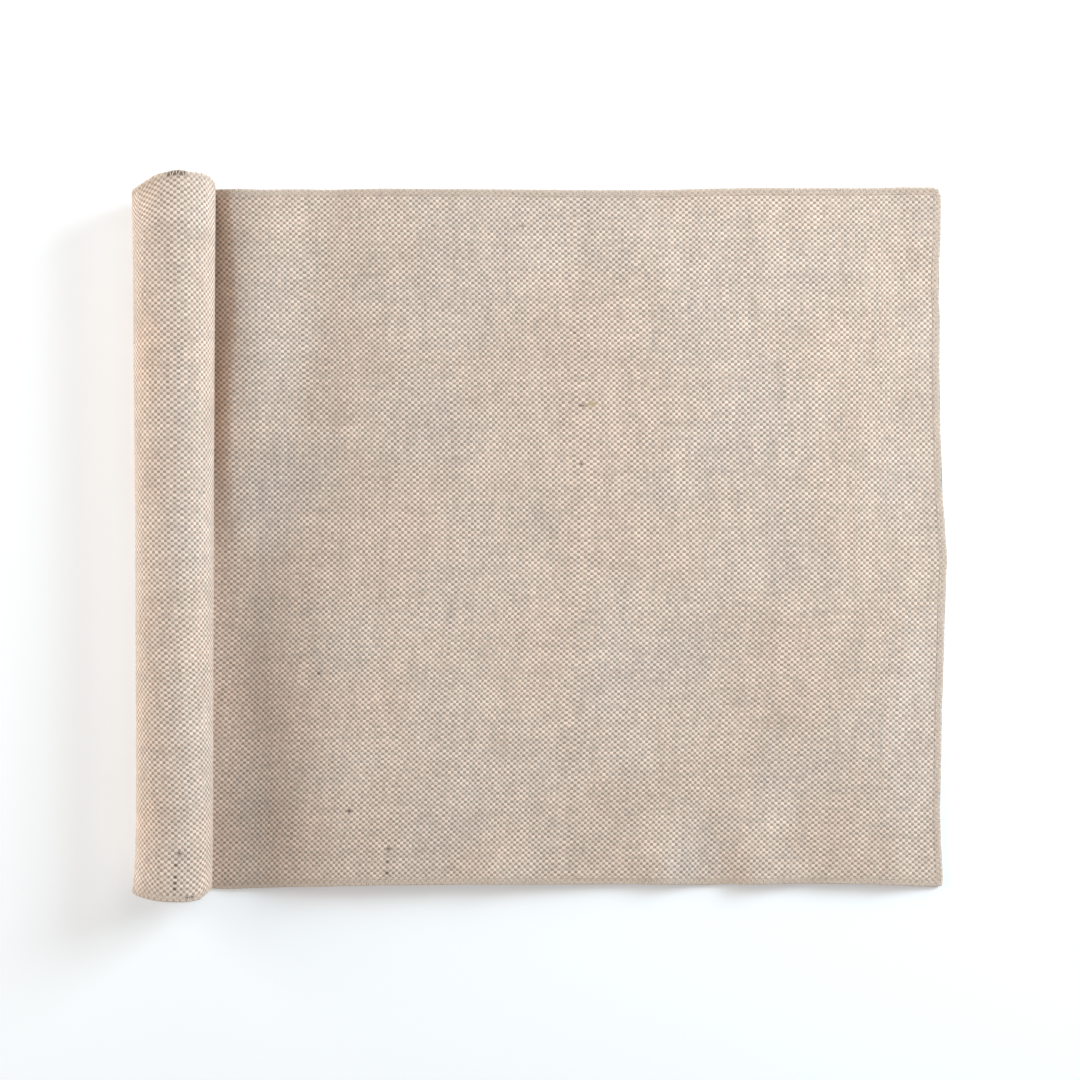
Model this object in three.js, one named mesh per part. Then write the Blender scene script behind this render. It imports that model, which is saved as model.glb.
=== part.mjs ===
// Table runner, partly unrolled. One woven cloth lies flat from its outer end and winds up into a
// roll at the other end. All four edges are overlocked, and each seam is sewn on its own.
//
// Millimetres, +Z up. +X runs along the runner from the roll to the outer end, +Y points to the
// rear edge. The origin is the middle of the underside of the whole object's box.

import * as THREE from 'three';

// The cloth as it was cut and hemmed.
const CLOTH_LENGTH = 1829;
const CLOTH_WIDTH = 355.6;
const CLOTH_THICKNESS = 0.54;

// How far it is rolled up.
const LAID_LENGTH = 387; // lies flat, from the roll's line of touch to the outer end
const CORE_RADIUS = 3; // open space along the middle of the roll
const TURN_CLEARANCE = 0.3; // between one turn and the next
const FACETS_PER_TURN = 16;

// The overlocked edges.
const OVERLOCK_WIDTH = 4.6; // margin of cloth that the looper threads wrap
const NEEDLE_THREAD_WIDTH = 0.5;
const SEAM_CLEARANCE = 0.3; // between the pieces of a seam

// Sizes that follow from those above.
const SEAM_WIDTH = OVERLOCK_WIDTH + NEEDLE_THREAD_WIDTH + 2 * SEAM_CLEARANCE;
const TURN_PITCH = CLOTH_THICKNESS + TURN_CLEARANCE;
const FACET_ANGLE = (2 * Math.PI) / FACETS_PER_TURN;
const ROUNDING = 1e-6; // in facets, so that a strip that ends on a corner has one point there
const ROLLED_LENGTH = CLOTH_LENGTH - LAID_LENGTH;
const INNER_MIDLINE_RADIUS = CORE_RADIUS + CLOTH_THICKNESS / 2;
const OUTER_MIDLINE_RADIUS = Math.sqrt(INNER_MIDLINE_RADIUS ** 2 + (TURN_PITCH * ROLLED_LENGTH) / Math.PI);
const ROLL_RADIUS = OUTER_MIDLINE_RADIUS + CLOTH_THICKNESS / 2;
const OVERALL_LENGTH = ROLL_RADIUS + LAID_LENGTH;
const ROLL_AXIS_X = ROLL_RADIUS - OVERALL_LENGTH / 2;
const OUTER_END_X = OVERALL_LENGTH / 2;

const CLOTH_COLOUR = 0xd0bfae;
const LOOPER_COLOUR = 0xdccdbb;
const NEEDLE_COLOUR = 0xb8a48f;

// The pieces of every seam, from the cloth's edge inwards.
const SEAM_PIECES = [
  { suffix: 'overlock', colour: LOOPER_COLOUR, inset: 0, width: OVERLOCK_WIDTH },
  {
    suffix: 'needle_thread', colour: NEEDLE_COLOUR,
    inset: OVERLOCK_WIDTH + SEAM_CLEARANCE, width: NEEDLE_THREAD_WIDTH,
  },
];

// The turn angle, from the line of touch, that a length of rolled cloth reaches. The cloth leaves
// the flat part at the bottom of the roll, climbs its far side and closes in by one pitch a turn.
function turnAngle(rolled) {
  const radius = Math.sqrt(OUTER_MIDLINE_RADIUS ** 2 - (TURN_PITCH * rolled) / Math.PI);
  return (2 * Math.PI * (OUTER_MIDLINE_RADIUS - radius)) / TURN_PITCH;
}

function rolledLength(angle) {
  return OUTER_MIDLINE_RADIUS * angle - (TURN_PITCH * angle ** 2) / (4 * Math.PI);
}

// A point of the roll in side view, X and Z. The turn angle is a whole number of facets. offset is 0
// on the cloth's outward face, which lies on the table, and CLOTH_THICKNESS on its inward face.
function facetCorner(facets, offset) {
  const angle = facets * FACET_ANGLE;
  const radius = ROLL_RADIUS - (TURN_PITCH * angle) / (2 * Math.PI) - offset;
  return new THREE.Vector2(ROLL_AXIS_X - radius * Math.sin(angle), ROLL_RADIUS - radius * Math.cos(angle));
}

// The point of the cloth at a distance along it from the outer end, on the flat part or on a facet.
function clothPoint(distance, offset) {
  if (distance <= LAID_LENGTH) {
    return new THREE.Vector2(OUTER_END_X - distance, offset);
  }
  const facets = turnAngle(distance - LAID_LENGTH) / FACET_ANGLE;
  const corner = Math.floor(facets);
  return facetCorner(corner, offset).lerp(facetCorner(corner + 1, offset), facets - corner);
}

// Distances along the cloth at which a strip from start to end bends or stops: its own ends, the
// line of touch, and the corners, which are at the same angles in every turn, so that turns stay
// parallel.
function facetDistances(start, end) {
  const distances = [start];
  if (start < LAID_LENGTH && end > LAID_LENGTH) {
    distances.push(LAID_LENGTH);
  }
  const rolledStart = Math.max(start - LAID_LENGTH, 0);
  const rolledEnd = end - LAID_LENGTH;
  if (rolledEnd > 0) {
    const first = Math.floor(turnAngle(rolledStart) / FACET_ANGLE + ROUNDING) + 1;
    const last = Math.ceil(turnAngle(rolledEnd) / FACET_ANGLE - ROUNDING) - 1;
    for (let corner = first; corner <= last; corner += 1) {
      distances.push(LAID_LENGTH + rolledLength(corner * FACET_ANGLE));
    }
  }
  distances.push(end);
  return distances;
}

// A strip of the cloth's thickness that follows it from start to end and spans lowY to highY.
function clothStrip(name, colour, start, end, lowY, highY) {
  const distances = facetDistances(start, end);
  const outward = distances.map((distance) => clothPoint(distance, 0));
  const inward = distances.map((distance) => clothPoint(distance, CLOTH_THICKNESS));
  const section = new THREE.Shape([...outward, ...inward.reverse()]);
  const geometry = new THREE.ExtrudeGeometry(section, { depth: highY - lowY, bevelEnabled: false });
  geometry.rotateX(Math.PI / 2);
  const material = new THREE.MeshStandardMaterial({ color: colour, roughness: 0.95, metalness: 0 });
  const mesh = new THREE.Mesh(geometry, material);
  mesh.name = name;
  mesh.position.y = highY;
  return mesh;
}

// The whole woven field inside the four seams, in one piece from the outer end to the core.
function wovenPanel() {
  const halfWidth = CLOTH_WIDTH / 2 - SEAM_WIDTH;
  return clothStrip(
    'woven_panel', CLOTH_COLOUR, SEAM_WIDTH, CLOTH_LENGTH - SEAM_WIDTH, -halfWidth, halfWidth);
}

// A seam along one long edge. side is 1 at the rear and -1 at the front. It stops at the end seams.
function longEdgeSeam(edge, side) {
  return SEAM_PIECES.map(({ suffix, colour, inset, width }) => {
    const outer = side * (CLOTH_WIDTH / 2 - inset);
    const inner = side * (CLOTH_WIDTH / 2 - inset - width);
    return clothStrip(
      `${edge}_${suffix}`, colour, SEAM_WIDTH, CLOTH_LENGTH - SEAM_WIDTH,
      Math.min(outer, inner), Math.max(outer, inner));
  });
}

// A seam across one end, over the whole width. edgeDistance is where that end is along the cloth,
// and inwards is 1 where the cloth continues to larger distances and -1 at the core.
function endSeam(end, edgeDistance, inwards) {
  return SEAM_PIECES.map(({ suffix, colour, inset, width }) => {
    const near = edgeDistance + inwards * inset;
    const far = edgeDistance + inwards * (inset + width);
    return clothStrip(
      `${end}_${suffix}`, colour, Math.min(near, far), Math.max(near, far),
      -CLOTH_WIDTH / 2, CLOTH_WIDTH / 2);
  });
}

const tableRunner = new THREE.Group();
tableRunner.add(wovenPanel());
tableRunner.add(...longEdgeSeam('rear_edge', 1));
tableRunner.add(...longEdgeSeam('front_edge', -1));
tableRunner.add(...endSeam('outer_end', 0, 1));
tableRunner.add(...endSeam('inner_end', CLOTH_LENGTH, -1));

export default tableRunner;
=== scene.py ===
import math

import bpy
import numpy as np
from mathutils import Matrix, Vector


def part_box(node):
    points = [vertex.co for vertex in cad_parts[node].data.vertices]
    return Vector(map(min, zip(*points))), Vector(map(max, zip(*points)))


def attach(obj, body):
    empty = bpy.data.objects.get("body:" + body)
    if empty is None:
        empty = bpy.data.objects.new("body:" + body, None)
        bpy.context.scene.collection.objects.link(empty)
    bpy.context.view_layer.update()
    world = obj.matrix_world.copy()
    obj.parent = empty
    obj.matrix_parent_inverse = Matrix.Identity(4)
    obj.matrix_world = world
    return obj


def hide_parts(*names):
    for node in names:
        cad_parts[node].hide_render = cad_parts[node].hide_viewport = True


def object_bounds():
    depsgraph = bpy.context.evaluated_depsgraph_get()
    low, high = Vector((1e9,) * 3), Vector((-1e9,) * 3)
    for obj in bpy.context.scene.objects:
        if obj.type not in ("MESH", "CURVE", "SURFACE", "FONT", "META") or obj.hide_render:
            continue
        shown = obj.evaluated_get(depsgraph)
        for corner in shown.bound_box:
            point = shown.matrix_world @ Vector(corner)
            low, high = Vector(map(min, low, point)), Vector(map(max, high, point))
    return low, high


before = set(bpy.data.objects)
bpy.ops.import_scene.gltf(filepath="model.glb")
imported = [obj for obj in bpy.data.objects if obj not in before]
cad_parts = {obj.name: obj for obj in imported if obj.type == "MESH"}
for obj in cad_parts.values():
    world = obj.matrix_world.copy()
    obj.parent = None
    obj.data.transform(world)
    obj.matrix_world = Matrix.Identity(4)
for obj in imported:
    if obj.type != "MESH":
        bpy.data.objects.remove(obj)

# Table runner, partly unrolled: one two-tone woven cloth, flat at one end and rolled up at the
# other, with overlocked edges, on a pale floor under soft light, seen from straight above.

MM = 0.001
SEED = 11

# ---------------------------------------------------------------- sizes

cad_low, cad_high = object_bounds()
margin_low, margin_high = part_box("rear_edge_overlock")

CLOTH_LENGTH = 1829 * MM
LAID_LENGTH = 387 * MM  # flat, from the roll's line of touch to the outer end
CORE_RADIUS = 3.0 * MM
WIDTH = cad_high.y - cad_low.y
COVERED_SHARE = 0.68  # of the margin that the CAD keeps for the looper threads
OVERLOCK = COVERED_SHARE * (margin_high.y - margin_low.y)
OUTER_X = cad_high.x
AXIS_X = OUTER_X - LAID_LENGTH
ROLLED_LENGTH = CLOTH_LENGTH - LAID_LENGTH
TURN_PITCH = 0.84 * MM  # the cloth's real thickness, threads and relief included
MID_HEIGHT = TURN_PITCH / 2
INNER_MID = CORE_RADIUS + MID_HEIGHT
MEAN_RADIUS = math.sqrt(INNER_MID**2 + TURN_PITCH * ROLLED_LENGTH / math.pi) + MID_HEIGHT

# The weave.
WARP_PITCH = 1.39 * MM  # cream yarns, which run along the runner
WEFT_PITCH = 1.535 * MM  # taupe yarns, which run across it
WARPS = round(WIDTH / WARP_PITCH)
WEFTS = round(CLOTH_LENGTH / WEFT_PITCH)
RELIEF = 0.15 * MM  # a cream crown over the cloth's mean face
HALF_FIELD = 0.31 * MM
HALF_MARGIN_FLAT = 0.24 * MM  # cloth under the looper threads
HALF_MARGIN_ROLLED = 0.19 * MM

# The seams.
STITCH = 3.05 * MM
LOOPER_HALF_WIDTH = 0.20 * MM
LOOPER_HALF_DEPTH = 0.09 * MM
NEEDLE_HALF_WIDTH = 0.17 * MM
NEEDLE_HALF_DEPTH = 0.13 * MM
NEEDLE_LINE = OVERLOCK + 0.25 * MM  # in from the edge
LOOPER_REACH = OVERLOCK + 0.10 * MM
UNEVEN_ALONG = 0.10 * STITCH
UNEVEN_INWARDS = 0.10 * MM
THREAD_SIDES = 6
THREAD_END = 0.3 * MM  # short of the corner of the cloth

# The roll's radius as shares of the mean radius. It grows towards the rear, and it also grows over
# a short share of the width at the front, where the roll opens and leans.
FRONT_RADIUS = 0.951
REAR_GAIN = 0.085
REAR_GAIN_POWER = 1.9
OPENING_GAIN = 0.022
OPENING_SHARE = 0.13
LEAN = 2.2 * MM  # of the roll's top at its front end, away from the laid part

# How the edges wander from straight, as (place, offset outwards) in millimetres. The long edges
# go by the distance from the roll's axis, and the outer end by the distance from the front edge.
REAR_WANDER = (
    (0, 0.0), (18, -1.6), (24, -2.8), (42, -2.8), (62, -1.15), (100, -0.2), (145, -0.4),
    (215, -0.95), (246, -0.8), (268, -0.2), (290, 0.25), (350, 0.1), (368, 0.5), (384, -0.2),
    (387, -1.2),
)
FRONT_WANDER = (
    (0, 0.0), (18, 1.2), (24, 1.1), (42, 0.2), (62, -1.2), (83, -2.15), (103, -2.5), (144, -2.65),
    (164, -2.6), (185, -2.1), (226, -1.8), (246, -2.1), (266, -1.1), (291, -2.4), (307, -2.1),
    (348, -2.3), (368, -1.2), (384, 0.1), (387, -0.6),
)
END_WANDER = (
    (0, -0.2), (3, 0.3), (22, -0.8), (43, -1.2), (64, -0.6), (84, -0.3), (105, 0.4), (124, 1.0),
    (145, 1.3), (166, 2.6), (186, 1.3), (207, -0.4), (228, -0.7), (248, -1.5), (289, -1.2),
    (309, -2.0), (331, -1.2), (352, -1.1), (355.6, -2.6),
)

# How far the rolled cloth's two edges slip outwards, as (degrees round the roll from the line of
# touch, millimetres).
REAR_SLIP = (
    (0, -1.5), (60, -4.0), (90, -5.8), (105, -6.4), (124, -6.4), (140, -5.0), (152, -3.5),
    (164, -1.4), (170, -0.8), (182, 0.3), (195, 1.4), (204, 1.3), (212, 0.9), (236, 1.1),
    (252, 0.2), (260, -0.5), (270, -1.3), (360, -1.5),
)
FRONT_SLIP = (
    (0, -0.2), (60, -0.8), (90, -1.3), (116, -1.9), (140, -1.3), (158, -0.7), (176, 0.1),
    (195, 0.7), (212, 1.2), (236, 1.2), (244, 0.1), (252, -0.8), (260, -1.5), (270, -1.8),
    (320, -1.2), (360, -0.2),
)
REAR_SLIP_REACH = 40 * MM  # in from the edge
FRONT_SLIP_REACH = 34 * MM
SLIPPING_TURNS = 10  # the slip dies away over these turns, from the outermost inwards
TELESCOPING = 0.5 * MM  # one turn sliding past the next
WAVER = 0.03 * MM  # of a turn in and out
REAR_WAVER = 0.05 * MM  # more of it at the rear

# The hump beside the roll. Places are from the roll's axis. The crest swings out near the rear, and
# the far foot moves out towards the rear.
HUMP_START = 11 * MM
HUMP_CREST = 27 * MM
HUMP_CREST_SWING = 4 * MM
HUMP_END = 45 * MM
HUMP_END_SWING = 35 * MM
FRONT_HUMP = 1.4 * MM
REAR_HUMP = 11.0 * MM
REAR_EDGE_HUMP = 2.0 * MM  # more, close to the edge

# The long low wave along the front edge, from the roll's axis.
FRONT_RISE = 11.0 * MM
FRONT_RISE_UP = (21 * MM, 84 * MM)
FRONT_RISE_DOWN = (90 * MM, 310 * MM)

# The rest of the laid part: a faint sway all over, and lifted places at the outer end.
SWAY = 0.35 * MM
END_WAVE = 1.1 * MM
FRONT_CORNER = 0.4 * MM
REAR_CORNER_GAIN = 1.6 * MM

# Ripples along the front edge, in mm: distance from the roll's axis, half width on the roll's
# side and on the other side, reach from the edge, and height.
RIPPLES = (
    (164, 14, 12, 35, 1.4), (246, 14, 12, 45, 3.8), (291, 12, 17, 55, 6.2), (332, 12, 12, 35, 0.6),
    (356, 50, 22, 260, 6.2),
)


# ---------------------------------------------------------------- small mathematics


def from_table(table, place):
    """Read between the rows of a table of (place, millimetres). Returns metres."""
    places, values = zip(*table)
    return np.interp(place, places, values) * MM


def smoothstep(low, high, x):
    """0 at low and 1 at high, and smooth between them. low may be the larger."""
    t = np.clip((x - low) / (high - low), 0.0, 1.0)
    return t * t * (3 - 2 * t)


def bump(x, centre, reach):
    """1 at the centre, falling smoothly to 0 at that reach on either side."""
    return 1 - smoothstep(0.0, reach, np.abs(x - centre))


LATTICE = np.random.default_rng(SEED).random((256, 256)) * 2 - 1


def noise(x, y=0.0):
    """Smooth noise from -1 to 1, with one random value at each pair of whole numbers."""
    x, y = np.broadcast_arrays(np.asarray(x, float), np.asarray(y, float))
    i, j = np.floor(x).astype(int), np.floor(y).astype(int)
    u, v = x - i, y - j
    u, v = u * u * (3 - 2 * u), v * v * (3 - 2 * v)
    a, b = i % 256, j % 256
    c, d = (i + 1) % 256, (j + 1) % 256
    low = LATTICE[a, b] * (1 - u) + LATTICE[c, b] * u
    high = LATTICE[a, d] * (1 - u) + LATTICE[c, d] * u
    return low * (1 - v) + high * v


def unit(v):
    return v / np.maximum(np.linalg.norm(v, axis=-1, keepdims=True), 1e-12)


# ---------------------------------------------------------------- the shape of the cloth


def front_share(y):
    """Share of the width from the front edge: 0 there, and 1 at the rear edge."""
    return (y + WIDTH / 2) / WIDTH


def front_opening(y):
    """1 at the roll's front end, falling to 0 a short way in."""
    return (1 - np.clip(front_share(y) / OPENING_SHARE, 0.0, 1.0)) ** 2


def roll_radius(y):
    """The roll is wound a little looser towards the rear, and its front end opens slightly."""
    share = np.clip(front_share(y), 0.0, 1.0)
    grown = REAR_GAIN * share**REAR_GAIN_POWER + OPENING_GAIN * front_opening(y)
    return MEAN_RADIUS * (FRONT_RADIUS + grown)


def hump(share, away):
    """The fold beside the roll: high at the rear, low at the front and flat between them."""
    crest = HUMP_CREST + HUMP_CREST_SWING * bump(share, 0.84, 0.18)
    end = HUMP_END + HUMP_END_SWING * smoothstep(0.3, 1.0, share)
    profile = smoothstep(HUMP_START, crest, away) * (1 - smoothstep(crest, end, away))
    rear_height = REAR_HUMP * smoothstep(0.34, 0.85, share) + REAR_EDGE_HUMP * share**8
    front_height = FRONT_HUMP * (1 - smoothstep(0.05, 0.35, share))
    return (rear_height + front_height) * profile


def front_rise(share, away):
    """The long wave that lifts the front edge and dies away towards mid-width."""
    profile = smoothstep(*FRONT_RISE_UP, away) * (1 - smoothstep(*FRONT_RISE_DOWN, away))
    return FRONT_RISE * (1 - smoothstep(0.08, 0.60, share)) * profile


def ripples(share, away):
    """The short waves in the front edge."""
    total = 0.0
    for centre, roll_side, end_side, reach, height in RIPPLES:
        near_front = 1 - smoothstep(0.0, reach * MM / WIDTH, share)
        half_width = np.where(away < centre * MM, roll_side, end_side) * MM
        profile = np.exp(-(((away - centre * MM) / half_width) ** 2))
        total = total + height * MM * profile * near_front
    return total


def end_lift(share, x, y):
    """The outer end's low waves and slightly lifted corners."""
    near_end = smoothstep(-26 * MM, -2 * MM, x - OUTER_X)
    wave = END_WAVE * (noise(7.7, y / (38 * MM)) + 0.7) * share
    corners = (FRONT_CORNER + REAR_CORNER_GAIN * share) * np.abs(2 * share - 1) ** 5
    return (wave + corners) * near_end


def flat_height(x, y):
    """How far the laid part lifts off the table."""
    share = front_share(y)
    away = x - AXIS_X
    settled = smoothstep(40 * MM, 90 * MM, away)
    sway = SWAY * noise(x / (34 * MM), y / (150 * MM)) * settled
    folds = hump(share, away) + front_rise(share, away) + ripples(share, away)
    return np.maximum(folds + sway + end_lift(share, x, y), 0.0)


def flat_part(s, y):
    """The laid part of the cloth's middle surface. Its edges wander by up to 3 mm."""
    share = front_share(y)
    towards_end = smoothstep(45 * MM, 0.0, s)
    from_axis = (LAID_LENGTH - s) / MM
    x = OUTER_X - s + from_table(END_WANDER, share * WIDTH / MM) * towards_end
    rear = from_table(REAR_WANDER, from_axis) * np.clip(2 * share - 1, 0, 1) ** 2
    front = from_table(FRONT_WANDER, from_axis) * np.clip(1 - 2 * share, 0, 1) ** 2
    z = MID_HEIGHT + flat_height(x, y)
    return np.stack([x, y + rear - front, z], axis=-1)


def turn_angle(s, y):
    """(turn angle, middle radius) of the rolled cloth, both seen from the end."""
    rolled = np.maximum(s - LAID_LENGTH, 0.0)
    outer = roll_radius(y) - MID_HEIGHT
    pitch = math.pi * (outer**2 - INNER_MID**2) / ROLLED_LENGTH
    radius = np.sqrt(np.maximum(outer**2 - pitch * rolled / math.pi, (1.0 * MM) ** 2))
    return 2 * math.pi * (outer - radius) / pitch, radius


def end_slip(angle, y):
    """How far the cloth slips along the roll at its two ends. Inner turns slip less."""
    turns = angle / (2 * math.pi)
    degrees = np.degrees(angle) % 360
    fade = smoothstep(0.0, 0.12, turns) * np.clip(1 - turns / SLIPPING_TURNS, 0.0, 1.0)
    near_rear = smoothstep(REAR_SLIP_REACH, 0.0, WIDTH / 2 - y)
    near_front = smoothstep(FRONT_SLIP_REACH, 0.0, y + WIDTH / 2)
    rear = from_table(REAR_SLIP, degrees) * near_rear
    front = from_table(FRONT_SLIP, degrees) * near_front
    telescoping = TELESCOPING * noise(turns * 2.3, 9.5) * smoothstep(0.8, 1.5, turns)
    return (rear - front) * fade + telescoping


def rolled_part(s, y):
    """The rolled part of the cloth's middle surface, an open spiral wound inwards."""
    angle, radius = turn_angle(s, y)
    turns = angle / (2 * math.pi)
    waver = WAVER + REAR_WAVER * smoothstep(0.6, 1.0, front_share(y))
    radius = radius + waver * noise(turns * 3.1, 4.5) * smoothstep(0.1, 0.5, turns)
    axis_z = roll_radius(y)
    z = axis_z - radius * np.cos(angle)
    lean = LEAN * front_opening(y) * z / (2 * axis_z)
    x = AXIS_X - radius * np.sin(angle) - lean
    return np.stack([x, y + end_slip(angle, y), z], axis=-1)


def middle(s, y):
    """The cloth's middle surface at a distance s from the outer end and a place y across it."""
    s, y = np.broadcast_arrays(np.asarray(s, float), np.asarray(y, float))
    return np.where((s <= LAID_LENGTH)[..., None], flat_part(s, y), rolled_part(s, y))


def off_cloth(s, y, height):
    """A point off the middle surface. Positive heights are on the face that lies upwards."""
    step = 0.05 * MM
    here = middle(s, y)
    along = middle(s + step, y) - middle(s - step, y)
    across = middle(s, y + step) - middle(s, y - step)
    normal = unit(np.cross(across, along))
    return here + normal * np.asarray(height)[..., None], normal


def from_edge(s, y):
    """Distance in from the nearest of the cloth's four edges."""
    return np.minimum(WIDTH / 2 - np.abs(y), np.minimum(s, CLOTH_LENGTH - s))


def half_thickness(s, y):
    """Half the cloth's thickness: thinner where the looper threads press it."""
    rolled = smoothstep(LAID_LENGTH - 25 * MM, LAID_LENGTH, s)
    margin = HALF_MARGIN_FLAT + (HALF_MARGIN_ROLLED - HALF_MARGIN_FLAT) * rolled
    field = smoothstep(OVERLOCK - 0.6 * MM, OVERLOCK + 1.2 * MM, from_edge(s, y))
    return margin + (HALF_FIELD - margin) * field


# ---------------------------------------------------------------- the weave


def yarn_places(count, total, variation, seed):
    """Where each yarn's sides and middle lie: 2 * count + 1 places. Yarns vary in thickness."""
    rng = np.random.default_rng(seed)
    thickness = 1 + variation * (rng.random(count) * 2 - 1)
    thickness += variation * noise(np.arange(count) / 5.3, seed + 0.5)
    sides = np.concatenate([[0.0], np.cumsum(thickness)])
    sides *= total / sides[-1]
    places = np.empty(2 * count + 1)
    places[0::2] = sides
    places[1::2] = (sides[1:] + sides[:-1]) / 2
    return places


WEFT_PLACES = yarn_places(WEFTS, CLOTH_LENGTH, variation=0.10, seed=3)
WARP_PLACES = yarn_places(WARPS, WIDTH, variation=0.05, seed=4) - WIDTH / 2

# The wefts run askew: they bow towards the outer end near mid-width.
REAR_SKEW = -0.027  # slopes
FRONT_SKEW = 0.070
BOW_PLACE = -0.03 * WIDTH
BOW_BEND = 25 * MM  # reach of the bend between the two slopes
BOW_OFFSET = 6.5 * MM
SKEW_GROWTH = 60 * MM  # the skew grows from nothing over this length from either end

# How far yarns stray from straight.
STRAY_ALONG = 0.24 * MM
STRAY_ACROSS = 0.20 * MM


def weft_shift(s, y):
    """How far towards the roll a weft lies from its place at rest. None shifts at the two ends."""
    aside = y - BOW_PLACE
    slope, bend = (REAR_SKEW + FRONT_SKEW) / 2, (REAR_SKEW - FRONT_SKEW) / 2
    bow = slope * aside + bend * np.sqrt(aside**2 + BOW_BEND**2) + BOW_OFFSET
    free = np.minimum(s, CLOTH_LENGTH - s) / SKEW_GROWTH
    return -bow * np.clip(free, 0.0, 1.0)


def yarn_stray(s, y):
    """How far yarns stray, as (along the cloth, across it). None at the edges."""
    free = smoothstep(OVERLOCK, OVERLOCK + 8 * MM, from_edge(s, y))
    along = STRAY_ALONG * noise(s / (5 * MM), y / (16 * MM))
    across = STRAY_ACROSS * noise(s / (14 * MM) + 40, y / (5 * MM))
    return along * free, across * free


# Holes in the weave, painted dark as the shade inside them, as (distance from the outer end and
# from the front edge in mm, yarns along the runner, yarns across it, darkness up to 1). Most are
# missed crossings that show as holes; the last seven are dark holes and shaded gaps on the roll,
# near its two ends.
SHADED_HOLES = [
    (183, 245.5, 2, 1, 0.7), (183, 215, 1, 1, 0.85), (187.5, 282, 1, 1, 0.7), (155, 282, 1, 2, 0.4),
    (258, 337, 2, 1, 0.4), (214, 337.5, 1, 1, 0.7), (316.5, 108, 1, 1, 0.9), (301, 39, 1, 1, 1.0),
    (57, 90, 1, 2, 0.4), (281, 18.4, 1, 1, 0.85), (282, 12.6, 1, 1, 0.75), (282.5, 7, 1, 1, 0.9),
    (12, 57, 5, 1, 0.3), (12, 22, 1, 4, 0.3), (15, 15, 3, 1, 0.3), (9, 18, 1, 1, 0.4),
    *[(452, place, 1, 1, 0.9) for place in (6.5, 9.8, 12.6, 17.9, 23.6)],
    (452.7, 353.0, 6, 2, 0.6), (458, 1.6, 3, 1, 0.7),
]
SHADED_HOLE_RIM = 0.5  # painted shade on the places around a hole, as a share of the hole's own darkness

# Slubs, as (distance from the outer end, from the front edge, half length, half width) in mm.
SLUBS = ((178.0, 246.0, 3.9, 2.3),)

NEEDLE_HOLE_RADIUS = 0.85 * MM


def shaded_hole_depths(rows, columns):
    """How dark the painted hole shade makes each place, by half yarns."""
    depth = np.zeros((2 * WEFTS + 1, 2 * WARPS + 1))
    for out, across, long_count, cross_count, amount in SHADED_HOLES:
        y = across * MM - WIDTH / 2
        at_rest = out * MM - weft_shift(out * MM, y)
        i = 2 * int(np.searchsorted(WEFT_PLACES[0::2], at_rest)) - 1
        j = 2 * int(np.searchsorted(WARP_PLACES[0::2], y)) - 1
        i_end, j_end = i + 2 * long_count - 1, j + 2 * cross_count - 1
        around = depth[i - 1 : i_end + 1, j - 1 : j_end + 1]
        np.maximum(around, SHADED_HOLE_RIM * amount, out=around)
        depth[i:i_end, j:j_end] = amount
    return depth[np.ix_(rows, columns)]


def needle_holes(s, y):
    """1 at each hole of the four needle lines, falling to 0 a short way from it."""
    lines = (
        (s, WIDTH / 2 - np.abs(y), CLOTH_LENGTH),
        (y + WIDTH / 2, s, WIDTH),
        (y + WIDTH / 2, CLOTH_LENGTH - s, WIDTH),
    )
    marks = np.zeros(s.shape)
    for along, inwards, length in lines:
        step = length / int(length / STITCH)
        off = np.abs((along / step + 0.5) % 1 - 0.5) * step
        distance = np.hypot(off, inwards - NEEDLE_LINE)
        marks = np.maximum(marks, bump(distance, 0.0, NEEDLE_HOLE_RADIUS))
    return marks


def slub_marks(s, y):
    """1 at the middle of each slub, a thick uneven lump of yarn, and 0 around it."""
    marks = np.zeros(s.shape)
    for out, across, half_length, half_width in SLUBS:
        along = np.abs(s - out * MM) / (half_length * MM)
        aside = np.abs(y + WIDTH / 2 - across * MM) / (half_width * MM)
        marks = np.maximum(marks, 1 - smoothstep(0.55, 1.0, along + aside))
    return marks


# Heights of the weave, as shares of RELIEF over or under the cloth's mean face.
CREAM_CROWN = 1.0
TAUPE_CROWN = 0.30
CROWN_VARIATION = 0.16
BETWEEN_WARPS = -0.25
BETWEEN_WEFTS = -0.05
GAP = -0.95  # at the corner between four crossings

MARGIN_RELIEF = 0.7  # of the relief is left where the looper threads press the cloth
NEEDLE_HOLE_DEPTH = 0.30
HOLE_SINK = 1.6  # the face sinks faster than the painted hole shade darkens
SLUB_HEIGHT = 0.10 * MM


def crown_heights(rows, columns, side):
    """Relief of the weave at half-yarn steps. The other side shows the other yarn."""
    a, b = rows[:, None], columns[None, :]
    on_weft, on_warp = a % 2 == 1, b % 2 == 1
    cream_over = (a // 2 + b // 2 + (side < 0)) % 2 == 0
    crown = np.where(cream_over, CREAM_CROWN, TAUPE_CROWN)
    crown = crown + CROWN_VARIATION * noise(a * 0.5 + 0.31, b * 0.5 + 0.77)
    height = np.where(on_weft, BETWEEN_WARPS, GAP)
    height = np.where(~on_weft & on_warp, BETWEEN_WEFTS, height)
    return np.where(on_weft & on_warp, crown, height)


def woven_face(rows, columns, s, y, side):
    """(height over the mean face, darkness of painted hole shade, slub) of a part of the face that
    shows.
    """
    # Holes and needle holes are painted dark as the shade inside them; the face sinks there too.
    depth = np.maximum(shaded_hole_depths(rows, columns), NEEDLE_HOLE_DEPTH * needle_holes(s, y))
    slub = slub_marks(s, y)
    in_margin = WIDTH / 2 - np.abs(y) < OVERLOCK
    relief = RELIEF * crown_heights(rows, columns, side) * np.where(in_margin, MARGIN_RELIEF, 1.0)
    sunk = np.clip(depth * HOLE_SINK, 0.0, 1.0)
    return relief * (1 - sunk) - RELIEF * sunk + SLUB_HEIGHT * slub, depth, slub


# ---------------------------------------------------------------- meshes


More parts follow.
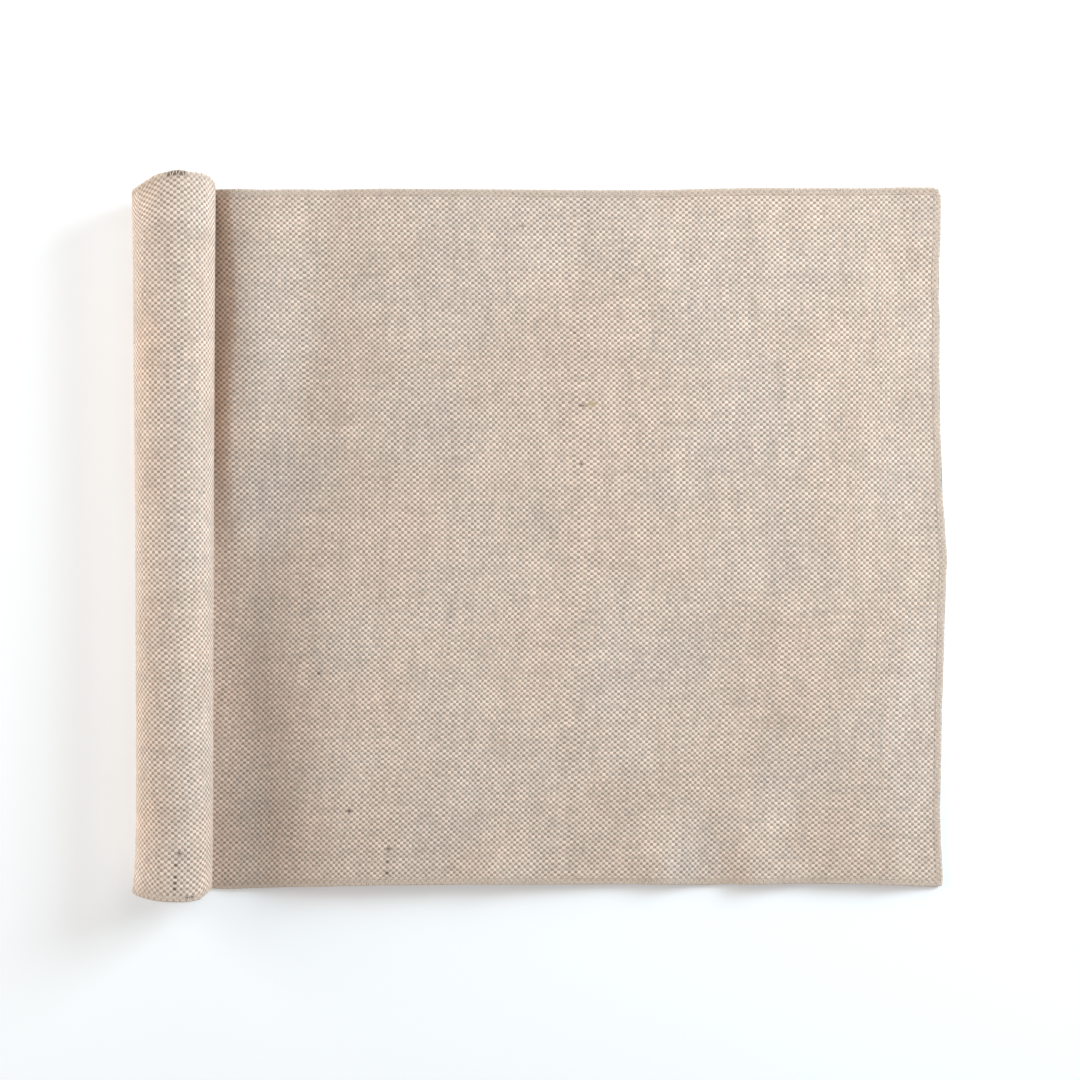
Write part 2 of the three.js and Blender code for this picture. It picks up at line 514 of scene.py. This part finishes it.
def new_object(name, points, faces, uv, attributes, material):
    """A smooth mesh from points, a list of face index arrays, and per-point UVs and values."""
    mesh = bpy.data.meshes.new(name)
    corners = np.concatenate([f.ravel() for f in faces]).astype(np.int32)
    sizes = np.concatenate([np.full(len(f), f.shape[1]) for f in faces])
    starts = np.concatenate([[0], np.cumsum(sizes)[:-1]]).astype(np.int32)
    mesh.vertices.add(len(points))
    mesh.vertices.foreach_set("co", np.ascontiguousarray(points, np.float32).ravel())
    mesh.loops.add(len(corners))
    mesh.loops.foreach_set("vertex_index", corners)
    mesh.polygons.add(len(starts))
    mesh.polygons.foreach_set("loop_start", starts)
    mesh.polygons.foreach_set("use_smooth", np.ones(len(starts), bool))
    layer = mesh.uv_layers.new(name="yarns")
    layer.data.foreach_set("uv", np.ascontiguousarray(uv[corners], np.float32).ravel())
    for key, values in attributes.items():
        attribute = mesh.attributes.new(key, "FLOAT", "POINT")
        attribute.data.foreach_set("value", np.ascontiguousarray(values, np.float32))
    mesh.update(calc_edges=True)
    mesh.validate()
    mesh.materials.append(material)
    piece = bpy.data.objects.new(name, mesh)
    bpy.context.scene.collection.objects.link(piece)
    return piece


def zip_rows(first, first_at, second, second_at):
    """Triangles between two rows of points whose spacing differs. at says how far along each is."""
    i = j = 0
    triangles = []
    while i < len(first) - 1 or j < len(second) - 1:
        last_first, last_second = i == len(first) - 1, j == len(second) - 1
        if last_second or (not last_first and first_at[i + 1] <= second_at[j + 1]):
            triangles.append((first[i], first[i + 1], second[j]))
            i += 1
        else:
            triangles.append((first[i], second[j + 1], second[j]))
            j += 1
    return np.array(triangles, np.int64)


def cloth_side(side, blocks, first_index):
    """One face of the cloth. side is 1 for the face that lies upwards and -1 for the other.
    blocks is a list of (weft rows, warp columns), both in half yarns, from the outer end on. A
    block with every column is woven in relief, and the others are smooth. The result holds points,
    UVs, painted hole shade and slub values, faces, and the rows of points along the two edges and
    two ends."""
    points, uvs, marks, slubs, faces = [], [], [], [], []
    edges = {-1: ([], []), 1: ([], [])}
    index = first_index
    last = None
    for rows, columns in blocks:
        s, y = np.meshgrid(WEFT_PLACES[rows], WARP_PLACES[columns], indexing="ij")
        along, across = yarn_stray(s, y)
        s, y = s + weft_shift(s, y) + along, y + across
        shape = s.shape
        relief, depth, slub = 0.0, np.zeros(shape), np.zeros(shape)
        if len(columns) == 2 * WARPS + 1:
            relief, depth, slub = woven_face(rows, columns, s, y, side)
        placed, _ = off_cloth(s, y, side * (half_thickness(s, y) + relief))
        grid = index + np.arange(s.size).reshape(shape)
        quads = [grid[:-1, :-1], grid[:-1, 1:], grid[1:, 1:], grid[1:, :-1]]
        faces.append(np.stack([q.ravel() for q in quads[:: side]], axis=-1))
        if last is not None:
            joint = zip_rows(last[0], last[1], grid[0], columns)
            faces.append(joint if side < 0 else joint[:, ::-1])
        for edge, column in ((-1, 0), (1, -1)):
            edges[edge][0].extend(grid[:, column])
            edges[edge][1].extend(rows)
        last = (grid[-1], columns)
        weft_count = np.broadcast_to(rows[:, None], shape) / 2 + (side < 0)
        warp_count = np.broadcast_to(columns, shape) / 2
        uvs.append(np.stack([weft_count.ravel(), warp_count.ravel()], axis=-1))
        points.append(placed.reshape(-1, 3))
        marks.append(depth.ravel())
        slubs.append(slub.ravel())
        index += s.size
    first_row = first_index + np.arange(len(blocks[0][1]))
    return {
        "points": np.concatenate(points),
        "uv": np.concatenate(uvs),
        "marks": np.concatenate(marks),
        "slubs": np.concatenate(slubs),
        "faces": faces,
        "edges": edges,
        "first": (first_row, blocks[0][1]),
        "last": last,
        "next": index,
    }


# Spacing of the rows of points where the cloth doesn't show.
LAID_SPACING = 3.5 * MM
ROWS_PER_TURN = 44
LEAST_ROLLED_SPACING = 0.75 * MM


def coarse_columns():
    """Columns for stretches that don't show: close together at the edges and wide apart inside."""
    half = [0, 1, 3, 5, 6, 7, 8, 10, 14, 20, 32, 52, 84, 128, 180, 228]
    return np.array(half + [WARPS] + [2 * WARPS - column for column in half[::-1]])


def row_at(s):
    """The first row, in half yarns, at or past a distance from the outer end."""
    return int(np.searchsorted(WEFT_PLACES, s))


def coarse_rows(start, end, spacing):
    """Rows in half yarns from start to end. spacing gives the metres to the next row."""
    rows = [start]
    while rows[-1] < end:
        s = WEFT_PLACES[rows[-1]]
        rows.append(min(max(row_at(s + spacing(s)), rows[-1] + 1), end))
    return np.array(rows)


def laid_spacing(_):
    """The same at every place."""
    return LAID_SPACING


def rolled_spacing(s):
    """An equal share of each turn, except where turns are small."""
    _, radius = turn_angle(np.array(s), np.array(0.0))
    return max(float(radius) * 2 * math.pi / ROWS_PER_TURN, LEAST_ROLLED_SPACING)


def cloth(material):
    """The whole cloth as one closed mesh. Each crossing has its own relief where it shows: on top
    of the laid part, and on the outside of the roll's outer turn."""
    end = 2 * WEFTS
    every_column = np.arange(2 * WARPS + 1)
    few_columns = coarse_columns()
    touch = row_at(LAID_LENGTH)
    outer_turn = row_at(LAID_LENGTH + 2 * math.pi * MEAN_RADIUS)
    before_touch = row_at(LAID_LENGTH - 4 * MM)
    top_blocks = [
        (np.arange(0, touch + 1), every_column),
        (coarse_rows(touch + 1, end, rolled_spacing), few_columns),
    ]
    under_blocks = [
        (coarse_rows(0, before_touch - 1, laid_spacing), few_columns),
        (np.arange(before_touch, outer_turn + 1), every_column),
        (coarse_rows(outer_turn + 1, end, rolled_spacing), few_columns),
    ]
    top = cloth_side(1, top_blocks, 0)
    under = cloth_side(-1, under_blocks, top["next"])
    walls = []
    for edge in (-1, 1):
        wall = zip_rows(*top["edges"][edge], *under["edges"][edge])
        walls.append(wall if edge < 0 else wall[:, ::-1])
    walls.append(zip_rows(*top["first"], *under["first"])[:, ::-1])
    walls.append(zip_rows(*top["last"], *under["last"]))
    faces = top["faces"] + under["faces"] + walls
    points, uv, marks, slubs = (
        np.concatenate([top[key], under[key]]) for key in ("points", "uv", "marks", "slubs")
    )
    return new_object("cloth", points, faces, uv, {"hole_shade": marks, "slub": slubs}, material)


# ---------------------------------------------------------------- seams


def thread(s, y, height, half_width, half_depth):
    """Points, faces and UVs of a thread of oval section along a path on the cloth. It is closed at
    both ends."""
    path, normal = off_cloth(s, y, height)
    along = unit(np.gradient(path, axis=0))
    sideways = unit(np.cross(along, normal))
    upwards = np.cross(sideways, along)
    angles = np.arange(THREAD_SIDES) * 2 * math.pi / THREAD_SIDES
    ring = (
        sideways[:, None] * (np.cos(angles) * half_width)[None, :, None]
        + upwards[:, None] * (np.sin(angles) * half_depth)[None, :, None]
    )
    points = (path[:, None] + ring).reshape(-1, 3)
    grid = np.arange(len(path) * THREAD_SIDES).reshape(len(path), THREAD_SIDES)
    turned = np.roll(grid, -1, axis=1)
    quads = np.stack([grid[:-1], turned[:-1], turned[1:], grid[1:]], axis=-1).reshape(-1, 4)
    length = np.concatenate([[0], np.cumsum(np.linalg.norm(np.diff(path, axis=0), axis=1))])
    along_uv = np.repeat(length / MM, THREAD_SIDES)
    around_uv = np.tile(np.arange(THREAD_SIDES) / THREAD_SIDES, len(path))
    uv = np.stack([along_uv, around_uv], axis=-1)
    caps = np.stack([grid[0][::-1], grid[-1]])
    return points, [quads, caps], uv


def edge_place(edge, along, inwards):
    """Cloth places (s, y) for a distance along an edge and a distance in from it."""
    if edge == "rear_edge":
        return along, WIDTH / 2 - inwards
    if edge == "front_edge":
        return along, inwards - WIDTH / 2
    if edge == "outer_end":
        return inwards, along - WIDTH / 2
    return CLOTH_LENGTH - inwards, along - WIDTH / 2


def stitches(edge, knots, phase):
    """(s, y, height) at places along a seam. knots are (share of a stitch, distance in, face,
    lift) for one stitch, repeated unevenly. face runs from 1, on top, to -1, underneath."""
    length = CLOTH_LENGTH if edge.endswith("edge") else WIDTH
    count = int(length / STITCH)
    step = length / count
    knots = np.array(knots)
    along = ((np.arange(count)[:, None] + phase + knots[None, :, 0]) * step).ravel()
    inwards = np.tile(knots[:, 1], count)
    face = np.tile(knots[:, 2], count)
    lift = np.tile(knots[:, 3], count)
    key = float(sum(map(ord, edge)) % 97) + phase  # each edge varies in its own way
    along = along + UNEVEN_ALONG * noise(along / (1.7 * STITCH), key)
    inwards = inwards + UNEVEN_INWARDS * noise(along / (0.9 * STITCH), key + 20)
    keep = (along > THREAD_END) & (along < length - THREAD_END)
    along, inwards, face, lift = (v[keep] for v in (along, inwards, face, lift))
    s, y = edge_place(edge, along, inwards)
    return s, y, face * half_thickness(s, y) + lift


def upper_looper_knots():
    """One stitch of the upper looper thread: a slanting leg out to the edge and a steep leg back."""
    inner = LOOPER_REACH
    on, over = LOOPER_HALF_DEPTH, 1.6 * LOOPER_HALF_DEPTH
    return [
        (0.00, inner, 1.0, on),
        (0.16, inner * 0.84, 1.0, over),
        (0.34, inner * 0.60, 1.0, over),
        (0.52, inner * 0.34, 1.0, over),
        (0.66, inner * 0.10, 1.0, on),
        (0.72, -0.10 * MM, 0.5, 0.0),
        (0.78, -0.14 * MM, 0.0, 0.0),
        (0.83, -0.05 * MM, 0.6, 0.0),
        (0.87, inner * 0.20, 1.0, on),
        (0.93, inner * 0.60, 1.0, on),
    ]


def lower_looper_knots():
    """One stitch of the lower looper thread: legs underneath, and a short loop over the edge."""
    inner = LOOPER_REACH
    on = LOOPER_HALF_DEPTH
    return [
        (0.00, inner, -1.0, -on),
        (0.20, inner * 0.70, -1.0, -on),
        (0.40, inner * 0.25, -1.0, -on),
        (0.48, -0.10 * MM, -0.5, 0.0),
        (0.54, -0.10 * MM, 0.5, 0.0),
        (0.60, 0.9 * MM, 1.0, on),
        (0.70, 1.7 * MM, 1.0, on),
        (0.80, 0.8 * MM, 1.0, on),
        (0.86, -0.10 * MM, 0.5, 0.0),
        (0.90, -0.10 * MM, -0.5, 0.0),
        (0.95, inner * 0.50, -1.0, -on),
    ]


def needle_knots():
    """One needle stitch: a long dash on top, and a dot underneath where a looper holds it."""
    return [
        (0.00, NEEDLE_LINE, -1.0, -NEEDLE_HALF_DEPTH),
        (0.06, NEEDLE_LINE, 0.0, 0.0),
        (0.16, NEEDLE_LINE, 1.0, NEEDLE_HALF_DEPTH),
        (0.35, NEEDLE_LINE, 1.0, NEEDLE_HALF_DEPTH * 1.9),
        (0.65, NEEDLE_LINE, 1.0, NEEDLE_HALF_DEPTH * 1.9),
        (0.84, NEEDLE_LINE, 1.0, NEEDLE_HALF_DEPTH),
        (0.94, NEEDLE_LINE, 0.0, 0.0),
    ]


def join_threads(name, threads, material):
    """One object from several threads."""
    points, faces, uvs, start = [], [], [], 0
    for made, made_faces, made_uv in threads:
        points.append(made)
        faces += [f + start for f in made_faces]
        uvs.append(made_uv)
        start += len(made)
    return new_object(name, np.concatenate(points), faces, np.concatenate(uvs), {}, material)


def overlock(edge, material):
    """The upper and lower looper threads of one edge."""
    made = []
    for knots, phase in ((upper_looper_knots(), 0.0), (lower_looper_knots(), 0.5)):
        path = stitches(edge, knots, phase)
        made.append(thread(*path, LOOPER_HALF_WIDTH, LOOPER_HALF_DEPTH))
    return join_threads(f"{edge}_looper_threads", made, material)


def needle_row(edge, material):
    """The needle thread of one edge."""
    path = stitches(edge, needle_knots(), 0.0)
    made = thread(*path, NEEDLE_HALF_WIDTH, NEEDLE_HALF_DEPTH)
    return join_threads(f"{edge}_needle_stitches", [made], material)


# ---------------------------------------------------------------- materials


class Nodes:
    """Short ways to build a node tree."""

    def __init__(self, material):
        material.use_nodes = True
        self.tree = material.node_tree
        self.tree.nodes.clear()

    def add(self, kind, inputs=(), **settings):
        node = self.tree.nodes.new("ShaderNode" + kind)
        for key, value in settings.items():
            setattr(node, key, value)
        for key, value in dict(inputs).items():
            self.put(node.inputs[key], value)
        return node

    def put(self, socket, value):
        if isinstance(value, bpy.types.NodeSocket):
            self.tree.links.new(value, socket)
        else:
            socket.default_value = value

    def math(self, operation, *values):
        return self.add("Math", enumerate(values), operation=operation).outputs[0]

    def total(self, start, *parts):
        """start plus each (value, weight) of the parts."""
        for value, weight in parts:
            start = self.math("MULTIPLY_ADD", value, weight, start)
        return start

    def ramp(self, value, low, high, to_low=0.0, to_high=1.0):
        """Smooth change from to_low to to_high as value goes from low to high."""
        inputs = {"Value": value, 1: low, 2: high, 3: to_low, 4: to_high}
        return self.add("MapRange", inputs, interpolation_type="SMOOTHSTEP").outputs[0]

    def vector(self, x, y, z=0.0):
        return self.add("CombineXYZ", {0: x, 1: y, 2: z}).outputs[0]

    def stretched(self, x, x_scale, y, y_scale):
        """A place for noise, with its own scale along each axis."""
        return self.vector(self.math("MULTIPLY", x, x_scale), self.math("MULTIPLY", y, y_scale))

    def split_uv(self):
        """The two parts of a place on the yarns."""
        place = self.add("UVMap", uv_map="yarns").outputs[0]
        return self.add("SeparateXYZ", {0: place}).outputs[:2]

    def attribute(self, name):
        return self.add("Attribute", attribute_name=name).outputs["Fac"]

    def noise(self, vector, scale=1.0, detail=2.0, roughness=0.5):
        inputs = {"Vector": vector, "Scale": scale, "Detail": detail, "Roughness": roughness}
        return self.add("TexNoise", inputs).outputs["Fac"]

    def random(self, vector):
        return self.add("TexWhiteNoise", {"Vector": vector}).outputs["Value"]

    def mix(self, share, first, second, blend="MIX"):
        inputs = {"Factor": share, 6: first, 7: second}
        return self.add("Mix", inputs, data_type="RGBA", blend_type=blend).outputs[2]

    def scale(self, colour, factor):
        """The colour times a number."""
        grey = self.add("CombineColor", {0: factor, 1: factor, 2: factor}).outputs[0]
        return self.mix(1.0, colour, grey, "MULTIPLY")

    def surface(self, inputs):
        """The material's own shader and output."""
        shader = self.add("BsdfPrincipled", inputs)
        self.add("OutputMaterial", {0: shader.outputs[0]})


def linear(red, green, blue):
    """A display colour from 0 to 255 as scene-linear RGBA."""
    return (*[((c / 255 + 0.055) / 1.055) ** 2.4 for c in (red, green, blue)], 1.0)


CREAM = linear(246, 229, 217)
TAUPE = linear(187, 159, 139)
SLUB = linear(186, 164, 122)
LOOPER = linear(238, 221, 206)
NEEDLE = linear(224, 206, 190)
FUZZ = linear(224, 204, 186)
# The next colour is painted shade: the dark inside of holes and gaps in the weave.
HOLE_SHADE = linear(76, 50, 32)


# In woven_material and its parts, u counts wefts from the outer end and v counts warps from the
# front edge, so one unit is one yarn. Weights and shares are chosen against the photo.
WARM_PATCH = (1.0, 0.980, 0.955, 1.0)
COOL_PATCH = (0.978, 0.994, 1.0, 1.0)
FUZZ_WIDTHS = (1.5, 2.3)  # yarns in from an edge at which its fuzz begins and ends to thin out
FUZZ_SHARE = 0.42


def fibre_noises(n, u, v):
    """Fine streaks (along the wefts, along the warps)."""
    along_warp = n.noise(n.stretched(u, 2.2, v, 13.0), detail=3.0)
    along_weft = n.noise(n.stretched(u, 13.0, v, 2.2), detail=3.0)
    return along_weft, along_warp


def yarn_colours(n, u, v, cream_over, fibres):
    """The cream and taupe yarns. Each has its own uneven tone, and the cloth has faint patches."""
    weft, warp = n.math("FLOOR", u), n.math("FLOOR", v)
    crossing = n.random(n.vector(weft, warp))
    warp_tone = n.noise(n.stretched(u, 0.06, warp, 3.7))
    weft_tone = n.noise(n.stretched(weft, 2.9, v, 0.035))
    cream_light = n.total(0.65, (crossing, 0.20), (warp_tone, 0.26), (fibres[1], 0.20))
    taupe_light = n.total(0.50, (crossing, 0.26), (weft_tone, 0.50), (fibres[0], 0.24))
    patch = n.noise(n.stretched(u, 0.021, v, 0.019), detail=3.0)
    tint = n.mix(n.ramp(patch, 0.35, 0.65), WARM_PATCH, COOL_PATCH)
    cream = n.mix(1.0, n.scale(CREAM, cream_light), tint, "MULTIPLY")
    taupe = n.mix(1.0, n.scale(TAUPE, taupe_light), tint, "MULTIPLY")
    return n.mix(cream_over, taupe, cream)


def edge_fuzz(n, u, v, yarns):
    """Loose fibres that veil the weave along the four edges."""
    from_side = n.math("MINIMUM", v, n.math("SUBTRACT", WARPS, v))
    from_end = n.math("MINIMUM", u, n.math("SUBTRACT", WEFTS, u))
    inwards = n.math("MINIMUM", from_side, from_end)
    slant = n.vector(n.math("ADD", u, n.math("MULTIPLY", v, 0.5)), n.math("MULTIPLY", v, 0.3))
    fuzz = n.scale(FUZZ, n.total(0.55, (n.noise(slant, 2.0, detail=4.0), 0.9)))
    return n.mix(n.ramp(inwards, *FUZZ_WIDTHS, FUZZ_SHARE, 0.0), yarns, fuzz)


def gap_shade_and_streaks(n, u, v, wave_u, wave_v):
    """Painted shade in the gaps between the yarns, deeper at a few random corners, and broad tone
    streaks along wefts and warps.
    """
    nearest = n.math("MAXIMUM", n.math("ABSOLUTE", wave_u), n.math("ABSOLUTE", wave_v))
    corner = n.vector(n.math("ROUND", u), n.math("ROUND", v), 7.0)
    # Painted shade: the colour darkens towards the gaps between the crossings.
    gap_shade_level = n.ramp(n.random(corner), 0.72, 1.0, 0.77, 0.42)
    gap_shade = n.ramp(nearest, 0.15, 0.70, gap_shade_level, 1.0)
    weft_streaks = n.noise(n.stretched(u, 0.13, v, 0.028), detail=4.0, roughness=0.75)
    warp_streaks = n.noise(n.stretched(u, 0.024, v, 0.11), detail=4.0, roughness=0.75)
    streaks = n.total(0.645, (warp_streaks, 0.28), (weft_streaks, 0.42))
    return n.math("MULTIPLY", gap_shade, streaks)


def woven_material():
    """Cream warp over taupe weft in plain weave."""
    material = bpy.data.materials.new("woven_cream_and_taupe")
    n = Nodes(material)
    u, v = n.split_uv()
    wave_u = n.math("SINE", n.math("MULTIPLY", u, math.pi))
    wave_v = n.math("SINE", n.math("MULTIPLY", v, math.pi))
    product = n.math("MULTIPLY", wave_u, wave_v)
    cream_over = n.ramp(product, -0.34, 0.10)
    fibres = fibre_noises(n, u, v)

    yarns = yarn_colours(n, u, v, cream_over, fibres)
    yarns = n.mix(n.math("MULTIPLY", n.attribute("slub"), 0.7), yarns, SLUB)
    yarns = edge_fuzz(n, u, v, yarns)
    # The yarn colours are darkened by painted shade in the gaps and by tone streaks.
    colour = n.scale(yarns, gap_shade_and_streaks(n, u, v, wave_u, wave_v))
    # Painted shade: holes and gaps in the weave turn dark brown.
    colour = n.mix(n.ramp(n.attribute("hole_shade"), 0.10, 0.85, 0.0, 0.92), colour, HOLE_SHADE)

    fibre = n.add("Mix", {0: cream_over, 2: fibres[0], 3: fibres[1]}).outputs[0]
    round_yarn = n.math("POWER", n.math("ABSOLUTE", product), 0.6)
    height = n.total(round_yarn, (fibre, 0.55))
    bump_node = n.add("Bump", {"Height": height, "Strength": 0.55, "Distance": 0.16 * MM})
    inputs = {
        "Base Color": colour,
        "Roughness": n.ramp(fibre, 0.2, 0.8, 0.78, 0.95),
        "Specular IOR Level": 0.22,
        "Sheen Weight": 0.12,
        "Sheen Roughness": 0.6,
        "Sheen Tint": (1.0, 0.95, 0.88, 1.0),
        "Normal": bump_node.outputs[0],
    }
    n.surface(inputs)
    return material


def thread_material(name, colour):
    """Two-ply spun thread: slanting plies, uneven tone and a fibrous surface, with painted shade in
    the grooves between the plies.
    """
    material = bpy.data.materials.new(name)
    n = Nodes(material)
    along, around = n.split_uv()
    turn = n.math("MULTIPLY_ADD", around, 2.0, n.math("MULTIPLY", along, 1.6))
    ply = n.math("ABSOLUTE", n.math("SINE", n.math("MULTIPLY", turn, math.pi)))
    tone = n.noise(n.vector(n.math("MULTIPLY", along, 0.35), 0.0))
    fibre = n.noise(n.stretched(along, 3.0, around, 9.0), detail=3.0)
    # The colour is uneven tone and fibre, and painted shade that darkens the grooves between the
    # plies.
    light = n.total(0.62, (ply, 0.16), (tone, 0.30), (fibre, 0.20))
    height = n.total(ply, (fibre, 0.6))
    bump_node = n.add("Bump", {"Height": height, "Strength": 0.5, "Distance": 0.08 * MM})
    inputs = {
        "Base Color": n.scale(colour, light),
        "Roughness": n.ramp(fibre, 0.2, 0.8, 0.70, 0.88),
        "Specular IOR Level": 0.28,
        "Sheen Weight": 0.10,
        "Normal": bump_node.outputs[0],
    }
    n.surface(inputs)
    return material


# ---------------------------------------------------------------- floor, light and camera

WALL_COLOUR = (1.0, 0.957, 0.905, 1.0)
WALL_STRENGTH = 0.84
CEILING_STRENGTH = 0.04
WALL_FADE = (0.30, 0.65)  # sines of the heights at which the walls begin and end to darken

FLOOR_SIZE = 40.0  # metres
FLOOR_DROP = 0.12 * MM  # below the lowest thread
FLOOR_COLOUR = (0.92, 0.94, 0.96, 1.0)

# The floor gives a little light of its own, which keeps it as pale as the walls further away. It
# changes from near to far between these distances from the origin, in metres.
GLOW_DISTANCES = (0.5, 2.0)
GLOW_STRENGTHS = (0.26, 0.61)
NEAR_GLOW_COLOUR = (0.94, 0.97, 1.0, 1.0)

# Square area lights: name, place and size in metres, power in watts, and colour.
SOFTBOXES = (
    ("right_softbox", (0.95, 0.50, 0.62), 0.55, 13.2, (0.77, 0.915, 1.0)),
    ("left_softbox", (-1.05, 0.20, 0.46), 0.85, 7.4, (1.0, 0.975, 0.93)),
    ("top_softbox", (0.35, 0.45, 1.1), 0.60, 3.1, (1.0, 0.95, 0.90)),
)

CAMERA_PLACE = (-1.2 * MM, -1.4 * MM, 930 * MM)
PICTURE_WIDTH = 1.353 * (cad_high.x - cad_low.x)  # what the camera sees at table height
SENSOR_WIDTH = 36  # millimetres, as Blender keeps it


def floor_material():
    """Pale and matt, with a faint glow of its own."""
    material = bpy.data.materials.new("pale_floor")
    n = Nodes(material)
    place = n.add("NewGeometry").outputs["Position"]
    distance = n.add("VectorMath", {0: place}, operation="LENGTH").outputs["Value"]
    far = n.ramp(distance, *GLOW_DISTANCES)
    inputs = {
        "Base Color": FLOOR_COLOUR,
        "Roughness": 0.9,
        "Specular IOR Level": 0.1,
        "Emission Color": n.mix(far, NEAR_GLOW_COLOUR, WALL_COLOUR),
        "Emission Strength": n.ramp(distance, *GLOW_DISTANCES, *GLOW_STRENGTHS),
    }
    n.surface(inputs)
    return material


def add_floor():
    bpy.ops.mesh.primitive_plane_add(size=FLOOR_SIZE, location=(0, 0, -FLOOR_DROP))
    floor = bpy.context.object
    floor.name = "floor"
    floor.data.materials.append(floor_material())


def add_softbox(name, place, size, power, colour):
    """A square area light that faces the middle of the runner."""
    lamp = bpy.data.lights.new(name, "AREA")
    lamp.size = size
    lamp.energy = power
    lamp.color = colour
    box = bpy.data.objects.new(name, lamp)
    box.location = place
    box.rotation_mode = "QUATERNION"
    box.rotation_quaternion = (-box.location).to_track_quat("-Z", "Y")
    bpy.context.scene.collection.objects.link(box)


def add_studio_walls():
    """Pale walls all round, which darken with height into a dim ceiling."""
    world = bpy.data.worlds.new("studio_walls")
    world.use_nodes = True
    tree = world.node_tree
    place = tree.nodes.new("ShaderNodeTexCoord")
    split = tree.nodes.new("ShaderNodeSeparateXYZ")
    fade = tree.nodes.new("ShaderNodeMapRange")
    fade.interpolation_type = "SMOOTHSTEP"
    for key, value in zip((1, 2, 3, 4), (*WALL_FADE, WALL_STRENGTH, CEILING_STRENGTH)):
        fade.inputs[key].default_value = value
    background = tree.nodes["Background"]
    background.inputs["Color"].default_value = WALL_COLOUR
    tree.links.new(place.outputs["Generated"], split.inputs[0])
    tree.links.new(split.outputs["Z"], fade.inputs["Value"])
    tree.links.new(fade.outputs[0], background.inputs["Strength"])
    bpy.context.scene.world = world


def add_light():
    add_studio_walls()
    for softbox in SOFTBOXES:
        add_softbox(*softbox)
    bpy.context.scene.view_settings.view_transform = "Standard"
    bpy.context.scene.view_settings.look = "None"


def add_camera():
    """The camera looks straight down, with the rear edge at the top of the picture."""
    lens = bpy.data.cameras.new("camera")
    lens.sensor_width = SENSOR_WIDTH
    lens.lens = SENSOR_WIDTH * CAMERA_PLACE[2] / PICTURE_WIDTH
    camera = bpy.data.objects.new("camera", lens)
    camera.location = CAMERA_PLACE
    bpy.context.scene.collection.objects.link(camera)
    bpy.context.scene.camera = camera


# ---------------------------------------------------------------- the scene


def main():
    add_camera()
    add_floor()
    add_light()
    looper = thread_material("looper_thread_cream", LOOPER)
    needle = thread_material("needle_thread_taupe", NEEDLE)
    sheet = cloth(woven_material())
    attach(sheet, "root")
    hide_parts("woven_panel")
    for edge in ("rear_edge", "front_edge", "outer_end", "inner_end"):
        loops = overlock(edge, looper)
        row = needle_row(edge, needle)
        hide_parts(f"{edge}_overlock")
        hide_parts(f"{edge}_needle_thread")
        for piece in (loops, row):
            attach(piece, "root")


main()
